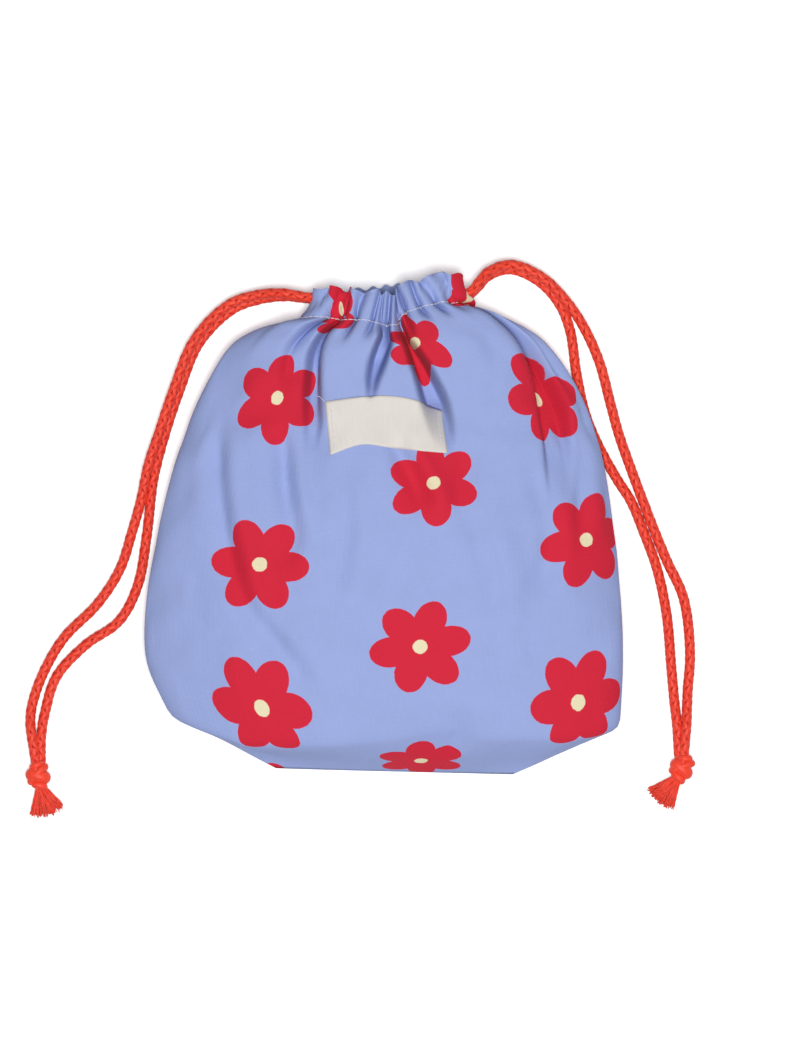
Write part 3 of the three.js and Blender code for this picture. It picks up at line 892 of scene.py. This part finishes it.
def tasselParts(start, turn, spread, spec, rng):
    parts = []
    for _ in range(spec["fibres"]):
        lean = turn + spread * rng.uniform(-1, 1)
        ahead = np.array([math.sin(lean), -math.cos(lean), 0.0])
        aside = np.array([math.cos(lean), math.sin(lean), 0.0])
        shareOut = (lean - turn) / spread
        root = start + (aside * (1.5 * shareOut + rng.uniform(-0.4, 0.4)) + ahead * rng.uniform(-1.5, 0.0)
                        + np.array([0, 0, rng.uniform(-1.5, 1.5)])) * mm
        long = spec["fibreLength"] * rng.uniform(0.93, 1.05)
        t = np.linspace(0, 1, spec["fibreSteps"])[:, None]
        bend = rng.uniform(-0.05, 0.05) * long
        end = rng.uniform(0.4, 3.6) * mm
        line = root + ahead * long * t + aside * bend * t**2
        phase = rng.uniform(0, 6.28)
        waves = rng.uniform(3.0, 5.0)
        wave = waves * 6.28 * t + phase
        line = line + aside * spec["crimp"] * np.sin(wave) * t
        line[:, 2] = root[2] + (end - root[2]) * t[:, 0] ** 0.7
        line[:, 2] += 0.5 * spec["crimp"] * np.cos(wave[:, 0]) * t[:, 0]
        line[:, 2] = np.maximum(line[:, 2], spec["fibreRadius"] + 0.1 * mm)
        taper = spec["fibreRadius"] * rng.uniform(0.8, 1.15) * (1 - 0.45 * t[:, 0] ** 3)
        parts.append(tube(line, taper, spec["fibreSides"]))
    return parts


def addKnot(name, node, centre, turn, spread, seedShift):
    rng = np.random.default_rng(knots["seed"] + seedShift)
    middle = np.array(centre) * mm
    ahead = np.array([math.sin(0.6 * turn), -math.cos(0.6 * turn), -0.15])
    start = middle + ahead * knots["tasselStart"]
    fibres = tasselParts(start, turn, spread, knots, rng)
    points, faces, uvs = gatherParts([*knotParts(middle, turn, knots), *fibres])
    points[:, 2] = np.maximum(points[:, 2], floorGap)
    knot = addMesh(name, points, faces, cordLook, uvs)
    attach(knot, "root")
    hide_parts(node)
    return knot


leftKnot = addKnot("left_tassel", "left_knot", leftKnotPlace, 0.28, 0.5, 0)
rightKnot = addKnot("right_tassel", "right_knot", rightKnotPlace, -0.68, 0.42, 1)


print("knots made")


# The cloth settles: it is a little longer than the shaped surface, so it wrinkles below the casing
settling = {
    "scale": 10.0,
    "frames": 24,
    "bodySlack": 0.02,
    "neckSlack": 0.15,
    "neckFrom": 165.0,
    "neckOver": 60.0,
    "quality": 6,
    "mass": 0.05,
    "damping": 3.0,
    "tension": 120.0,
    "shearShare": 0.4,
    "bending": 0.4,
    "pressure": 0.14,
    "gravity": 0.0,
    "furthest": 3.5,
    "heldOver": 30.0,
    "baseOver": 60.0,
}


def restPlaces(points, pattern):
    rowCount, columns, _ = points.shape
    rise = np.zeros((rowCount, columns))
    bodySlack, neckSlack = settling["bodySlack"], settling["neckSlack"]
    rise[1:] = np.cumsum(np.linalg.norm(np.diff(points, axis=0), axis=2) * (1 + bodySlack), axis=0)
    towardsNeck = smooth((pattern - settling["neckFrom"]) / settling["neckOver"])
    slack = bodySlack + (neckSlack - bodySlack) * towardsNeck
    front = pouch["frontColumns"]
    rest = np.zeros_like(points)
    for r in range(rowCount):
        ring = np.vstack([points[r], points[r][:1]])
        steps = np.linalg.norm(np.diff(ring, axis=0), axis=1) * (1 + slack[r])
        lifts = np.diff(np.append(rise[r], rise[r][0]))
        steps = np.sqrt(np.maximum(steps**2 - lifts**2, (0.3 * steps) ** 2))
        over = np.concatenate([[0.0], np.cumsum(steps[:front])])
        under = np.concatenate([[0.0], np.cumsum(steps[front:])])
        rest[r, : front + 1, 0] = over[-1] / 2 - over
        rest[r, front:, 0] = -over[-1] / 2 + under[:-1] * over[-1] / under[-1]
        rest[r, :, 1] = rise[r]
        rest[r, front + 1 :, 2] = -1.0
    return rest


def settle(cloth, start, rest, pinned):
    size = settling["scale"]
    mesh = cloth.data
    mesh.vertices.foreach_set("co", (start * size).ravel())
    cloth.shape_key_add(name="Basis")
    flat = cloth.shape_key_add(name="rest")
    flat.data.foreach_set("co", (rest * size).ravel())
    group = cloth.vertex_groups.new(name="held")
    group.add([int(i) for i in np.flatnonzero(pinned)], 1.0, "REPLACE")
    cover = cloth.modifiers.new("settle", "CLOTH")
    values = cover.settings
    values.quality = settling["quality"]
    values.mass = settling["mass"]
    values.tension_stiffness = settling["tension"]
    values.compression_stiffness = settling["tension"]
    values.shear_stiffness = settling["shearShare"] * settling["tension"]
    values.bending_stiffness = settling["bending"]
    values.air_damping = settling["damping"]
    values.vertex_group_mass = "held"
    values.rest_shape_key = flat
    values.use_pressure = True
    values.uniform_pressure_force = settling["pressure"]
    values.effector_weights.gravity = settling["gravity"]
    cover.collision_settings.use_collision = False
    cover.point_cache.frame_start = 1
    cover.point_cache.frame_end = settling["frames"]
    for step in range(1, settling["frames"] + 1):
        scene.frame_set(step)
    shown = cloth.evaluated_get(bpy.context.evaluated_depsgraph_get())
    settled = np.empty(len(mesh.vertices) * 3, dtype=np.float32)
    shown.data.vertices.foreach_get("co", settled)
    cloth.modifiers.remove(cover)
    cloth.shape_key_clear()
    cloth.vertex_groups.clear()
    scene.frame_set(1)
    return settled.reshape(-1, 3) / size


def makeCloth(material):
    points, pattern = clothGrid()
    rowCount, columns, _ = points.shape
    faces = clothFaces(rowCount)
    uvs = clothUvs(faces, pattern)
    start = points.reshape(-1, 3) * mm
    cloth = addMesh("pouch_cloth", start, faces, material, uvs)
    rest = restPlaces(points, pattern).reshape(-1, 3) * mm
    pinned = np.repeat(pattern >= pouch["casingCloth"] - 1, columns)
    settled = settle(cloth, start, rest, pinned)
    moved = settled - start
    far = np.linalg.norm(moved, axis=1, keepdims=True)
    print("cloth settled by", round(float(np.median(far)) / mm, 2), "mm,",
          "at most", round(float(far.max()) / mm, 2), "mm")
    belowCasing = smooth((pouch["casingCloth"] - pattern) / settling["heldOver"])
    free = np.repeat(belowCasing * smooth(pattern / settling["baseOver"]), columns)[:, None]
    start = start + moved * free * np.minimum(1, settling["furthest"] * mm / np.maximum(far, 1e-9))
    start[:, 2] = np.maximum(start[:, 2], pouch["lowest"] * mm)
    cloth.data.vertices.foreach_set("co", start.ravel())
    cloth.data.update()
    fold = cloth.data.attributes.new("crease_edge", "FLOAT", "EDGE")
    ends = np.empty(len(cloth.data.edges) * 2, dtype=np.int32)
    cloth.data.edges.foreach_get("vertices", ends)
    fold.data.foreach_set("value", (ends.reshape(-1, 2).max(axis=1) < columns).astype(np.float32))
    return cloth, start.reshape(rowCount, columns, 3), pattern


prints = {
    "cell": (80 * mm, 74 * mm),
    "petals": 6,
    "petalOut": 13.2 * mm,
    "petalRound": 8.4 * mm,
    "eye": 3.4 * mm,
    "ground": (148, 163, 212),
    "petal": (201, 36, 58),
    "eyeTone": (224, 214, 178),
    "scatter": 0.2,
    "start": (50.3, 50.15),
    "stretch": (0.72, 1.3),
    "heart": 0.75,
    "edgeWander": 0.6 * mm,
    "edgeBlur": 0.22 * mm,
}


def flowerMasks(x, y, spec):
    across = x / spec["cell"][0] + spec["start"][0]
    column = across.math("FLOOR", across)
    drop = column.math("MODULO", column, 2.0) * 0.5
    up = y / spec["cell"][1] + drop + spec["start"][1]
    row = up.math("FLOOR", up)
    cell = joined(column, row)
    chance = cell.node("ShaderNodeTexWhiteNoise", {"noise_dimensions": "2D"}, {"Vector": cell}, 1)
    shiftX, shiftY, spin = chance.parts()
    localX = (across - column - 0.5 + (shiftX - 0.5) * spec["scatter"]) * spec["cell"][0]
    localY = (up - row - 0.5 + (shiftY - 0.5) * spec["scatter"]) * spec["cell"][1]
    far = localX.math("SQRT", localX * localX + localY * localY)
    turn = localX.math("ARCTAN2", localY, localX) + spin * (2 * math.pi) + 4 * math.pi
    sector = 2 * math.pi / spec["petals"]
    folded = turn.math("MODULO", turn, sector) - sector / 2
    petalX = far * folded.math("COSINE", folded) - spec["petalOut"]
    petalY = far * folded.math("SINE", folded)
    long, wide = spec["stretch"]
    toPetal = petalX.math("SQRT", petalX * petalX * long + petalY * petalY * wide)
    edge = (noise(joined(x, y), 420.0) - 0.5) * spec["edgeWander"]
    petal = (toPetal + edge).below(spec["petalRound"], spec["edgeBlur"])
    heart = (far + edge).below(spec["heart"] * spec["petalOut"], spec["edgeBlur"])
    eye = (far + edge * 2.0).below(spec["eye"], spec["edgeBlur"])
    return petal.math("MAXIMUM", petal, heart), eye


def clothMaterial(spec):
    constants = {"Sheen Weight": 0.02, "Sheen Roughness": 0.5, "Specular IOR Level": 0.14}
    material, uv, shader = newMaterial("printed_cotton", constants)
    x, y, _ = uv.parts()
    flower, eye = flowerMasks(x, y, spec)
    wx, wy = x * 2600.0, y * 2600.0
    weave = wx.math("SINE", wx) * 0.5 + wy.math("SINE", wy) * 0.5
    slub = noise(joined(x * 2400.0, y * 160.0), 1.0, 2.0)
    slub = slub + noise(joined(x * 160.0, y * 2400.0, 5.0), 1.0, 2.0)
    worn = noise(joined(x, y, 2.0), 55.0, 4.0)
    tone = flower.mixed(linear(*spec["ground"]), linear(*spec["petal"]))
    tone = eye.mixed(tone, linear(*spec["eyeTone"]))
    shade = (slub - 1.0) * 0.1 + (worn - 0.5) * 0.1 + 1.0
    plug(shaded(tone, shade), shader, "Base Color")
    plug(worn * 0.14 + 0.74, shader, "Roughness")
    bump(weave * 0.35 + slub * 0.6 + noise(joined(x, y, 7.0), 42.0) * 3.0, shader, 0.35, 0.25 * mm)
    return material


def shaded(tone, shade):
    settings = {"data_type": "RGBA", "blend_type": "MULTIPLY"}
    grey = joined(shade, shade, shade)
    return tone.node("ShaderNodeMix", settings, {0: 1.0, 6: tone, 7: grey}, 2)


clothLook = clothMaterial(prints)
pouchCloth, clothPoints, clothPattern = makeCloth(clothLook)
refine = pouchCloth.modifiers.new("smooth", "SUBSURF")
refine.levels = 1
refine.render_levels = 1
wall = pouchCloth.modifiers.new("wall", "SOLIDIFY")
wall.thickness = pouch["thickness"]
wall.offset = -1.0
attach(pouchCloth, "root")
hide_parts("pouch_body")
print("pouch made")


# Threads: the casing's stitch line, the label's end stitches, and loose ends
threads = {
    "stitch": 2.7 * mm,
    "gap": 0.45 * mm,
    "radius": 0.2 * mm,
    "labelRadius": 0.17 * mm,
    "looseRadius": 0.13 * mm,
    "tone": (232, 230, 236),
}


def threadMaterial(name, tone):
    material, uv, shader = newMaterial(name, {"Sheen Weight": 0.2, "Specular IOR Level": 0.3})
    along, around, _ = uv.parts()
    twist = along * 9000.0 + around * (2 * math.pi)
    ply = twist.math("SINE", twist) * 0.5 + 0.5
    plug(ply.mixed(linear(*[0.86 * c for c in tone]), linear(*tone)), shader, "Base Color")
    plug(ply * 0.1 + 0.65, shader, "Roughness")
    bump(ply, shader, 0.4, 0.1 * mm)
    return material


threadLook = threadMaterial("white_thread", threads["tone"])


def finished(piece):
    shown = piece.evaluated_get(bpy.context.evaluated_depsgraph_get())
    mesh = shown.to_mesh()
    points = [v.co.copy() for v in mesh.vertices]
    faces = [tuple(p.vertices) for p in mesh.polygons]
    shown.to_mesh_clear()
    return BVHTree.FromPolygons(points, faces)


clothTree = finished(pouchCloth)


def stitchesAlong(line, outward, tree, radius):
    along = lengthAlong(line)
    parts = []
    place = 0.4 * mm
    while place + threads["stitch"] < along[-1]:
        at = place + threads["stitch"] * np.linspace(0, 1, 7)
        piece = atLengths(line, at)
        lifts = radius * np.array([-0.8, 0.5, 0.8, 0.9, 0.8, 0.5, -0.8])
        for i, point in enumerate(piece):
            out = Vector([np.interp(at[i], along, outward[:, k]) for k in range(3)]).normalized()
            hit, _, _, _ = tree.ray_cast(Vector(point) + out * 1.2 * mm, -out, 3 * mm)
            piece[i] = np.array((Vector(point) if hit is None else hit) + out * lifts[i])
        parts.append(tube(piece, radius, 6))
        place += threads["stitch"] + threads["gap"]
    return parts


def casingStitches():
    front = pouch["frontColumns"]
    row = int(np.argmin(np.abs(clothPattern - pouch["casingCloth"])))
    ring = clothPoints[row]
    normals = np.array([v.normal for v in pouchCloth.data.vertices]).reshape(clothPoints.shape)[row]
    parts = []
    for part in (slice(2, front - 1), slice(front + 2, None)):
        parts += stitchesAlong(ring[part], normals[part], clothTree, threads["radius"])
    points, faces, uvs = gatherParts(parts)
    return addMesh("casing_stitches", points, faces, threadLook, uvs)


stitches = casingStitches()
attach(stitches, "root")
print("stitches made")


# Label: a bare woven tape sewn down at its short ends
labels = {
    "top": [(-26.2, 55.8), (-12, 57.6), (3.0, 58.4), (16, 56.2), (27.6, 52.1)],
    "bottom": [(-23.9, 31.3), (-9.0, 36.0), (6.3, 34.2), (21.5, 32.8), (29.9, 32.2)],
    "steps": (44, 18),
    "thickness": 0.45 * mm,
    "clear": 0.3 * mm,
    "rise": 1.3 * mm,
    "settleRounds": 30,
    "buckles": (1.5, 0.12),
    "tone": (226, 220, 214),
    "flat": (0.055, 0.022),
}


def labelMaterial(spec):
    material, uv, shader = newMaterial("woven_tape", {"Sheen Weight": 0.2, "Specular IOR Level": 0.25})
    x, y, _ = uv.parts()
    wx, wy = x * 5200.0, y * 5200.0
    weave = wx.math("SINE", wx) * wy.math("SINE", wy)
    slub = noise(joined(x * 1800.0, y * 140.0), 1.0, 2.0)
    shade = linear(*[0.9 * c for c in spec["tone"]])
    plug((slub * 0.7 + weave * 0.12 + 0.15).mixed(shade, linear(*spec["tone"])), shader, "Base Color")
    plug(slub * 0.12 + 0.74, shader, "Roughness")
    bump(weave * 0.5 + slub * 0.8, shader, 0.4, 0.2 * mm)
    return material


def labelPoints(spec):
    across, up = spec["steps"]
    shares = np.linspace(0, 1, across + 1)

    def edge(points):
        line = curveThrough([(x, y, 0) for x, y in points], 20) * mm
        return atLengths(line, shares * lengthAlong(line)[-1])

    topEdge, bottomEdge = edge(spec["top"]), edge(spec["bottom"])
    grid = np.zeros((up + 1, across + 1, 3))
    for j in range(up + 1):
        t = j / up
        grid[j] = bottomEdge * (1 - t) + topEdge * t
        for i in range(across + 1):
            above = Vector((grid[j, i, 0], grid[j, i, 1], 0.2))
            hit, _, _, _ = clothTree.ray_cast(above, Vector((0, 0, -1)))
            grid[j, i, 2] = hit.z
    base = grid[:, :, 2].copy()
    for _ in range(spec["settleRounds"]):
        flow = base.copy()
        flow[1:-1, 1:-1] = 0.25 * (base[:-2, 1:-1] + base[2:, 1:-1] + base[1:-1, :-2] + base[1:-1, 2:])
        base = np.maximum(flow, grid[:, :, 2])
    loose = np.sin(np.pi * shares)[None, :] ** 0.7
    t = np.linspace(0, 1, up + 1)[:, None]
    waves, slant = spec["buckles"]
    buckle = 0.5 - 0.5 * np.cos(2 * np.pi * (waves * shares[None, :] + slant * t))
    atEdges = 0.6 + 0.4 * (2 * t - 1) ** 2
    grid[:, :, 2] = base + spec["clear"] + spec["thickness"] + spec["rise"] * loose * buckle * atEdges
    return grid


def makeLabel(spec):
    grid = labelPoints(spec)
    rows, columns, _ = grid.shape
    faces, uvs = [], []
    for j in range(rows - 1):
        for i in range(columns - 1):
            corners = ((i, j), (i + 1, j), (i + 1, j + 1), (i, j + 1))
            faces.append([b * columns + a for a, b in corners])
            for a, b in corners:
                uvs.append((a / (columns - 1) * spec["flat"][0], b / (rows - 1) * spec["flat"][1]))
    tape = addMesh("bare_label", grid.reshape(-1, 3), faces, labelMaterial(spec), uvs)
    thick = tape.modifiers.new("wall", "SOLIDIFY")
    thick.thickness = spec["thickness"]
    thick.offset = -1.0
    return tape, grid


label, labelGrid = makeLabel(labels)
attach(label, "root")
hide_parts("label")
labelTree = finished(label)


def labelThreads():
    parts = []
    for column in (2, labelGrid.shape[1] - 3):
        line = labelGrid[1:-1, column]
        upward = np.tile((0.0, 0.0, 1.0), (len(line), 1))
        parts += stitchesAlong(line, upward, labelTree, threads["labelRadius"])
    corner = labelGrid[-1, 0]
    loose = corner + np.array([(0.8, -0.6, 0.2), (-0.6, 0.3, 0.5), (-2.0, 1.8, 0.3), (-3.6, 2.6, 0.1)]) * mm
    parts.append(tube(evenly(curveThrough(loose, 10), 0.3 * mm), threads["looseRadius"], 5))
    points, faces, uvs = gatherParts(parts)
    return addMesh("label_threads", points, faces, threadLook, uvs)


labelStitches = labelThreads()
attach(labelStitches, "root")
print("label made")


# Floor and light
studio = {
    "floor": 6.0,
    "level": -0.0004,
    "floorTone": (244, 244, 244),
    "keyPlace": (0.05, -0.16, 1.52),
    "keySize": 0.5,
    "keyPower": 23.2,
    "around": 0.12,
    "whiten": 0.26,
}


def directRays(tree):
    paths = tree.nodes.new("ShaderNodeLightPath")
    seen = Wire(tree, paths.outputs["Is Camera Ray"])
    for kind in ("Is Glossy Ray", "Is Transmission Ray"):
        seen = seen.math("MAXIMUM", seen, Wire(tree, paths.outputs[kind]))
    return seen


def addFloor(spec):
    bpy.ops.object.select_all(action="DESELECT")
    bpy.ops.mesh.primitive_plane_add(size=spec["floor"], location=(0, 0, spec["level"]))
    floor = bpy.context.object
    floor.name = "floor"
    constants = {"Roughness": 0.9, "Specular IOR Level": 0.1, "Emission Strength": 1.0}
    material, uv, shader = newMaterial("floor_paper", constants)
    shader.inputs["Base Color"].default_value = linear(*spec["floorTone"])
    seen = directRays(uv.tree)
    white = (spec["whiten"],) * 3 + (1.0,)
    plug(seen.mixed((0.0, 0.0, 0.0, 1.0), white), shader, "Emission Color")
    floor.data.materials.append(material)


def addLight(spec):
    data = bpy.data.lights.new("key", "AREA")
    data.shape = "DISK"
    data.size = spec["keySize"]
    data.energy = spec["keyPower"]
    key = bpy.data.objects.new("key", data)
    key.location = spec["keyPlace"]
    key.rotation_euler = (Vector((0, 0, 0)) - Vector(spec["keyPlace"])).to_track_quat("-Z", "Y").to_euler()
    scene.collection.objects.link(key)
    world = bpy.data.worlds.new("studio")
    world.use_nodes = True
    tree = world.node_tree
    glow = tree.nodes["Background"]
    glow.inputs["Color"].default_value = (1, 1, 1, 1)
    seen = directRays(tree)
    strength = seen * (1.0 - spec["around"]) + spec["around"]
    tree.links.new(strength.socket, glow.inputs["Strength"])
    scene.world = world


addFloor(studio)
addLight(studio)
print("studio made")
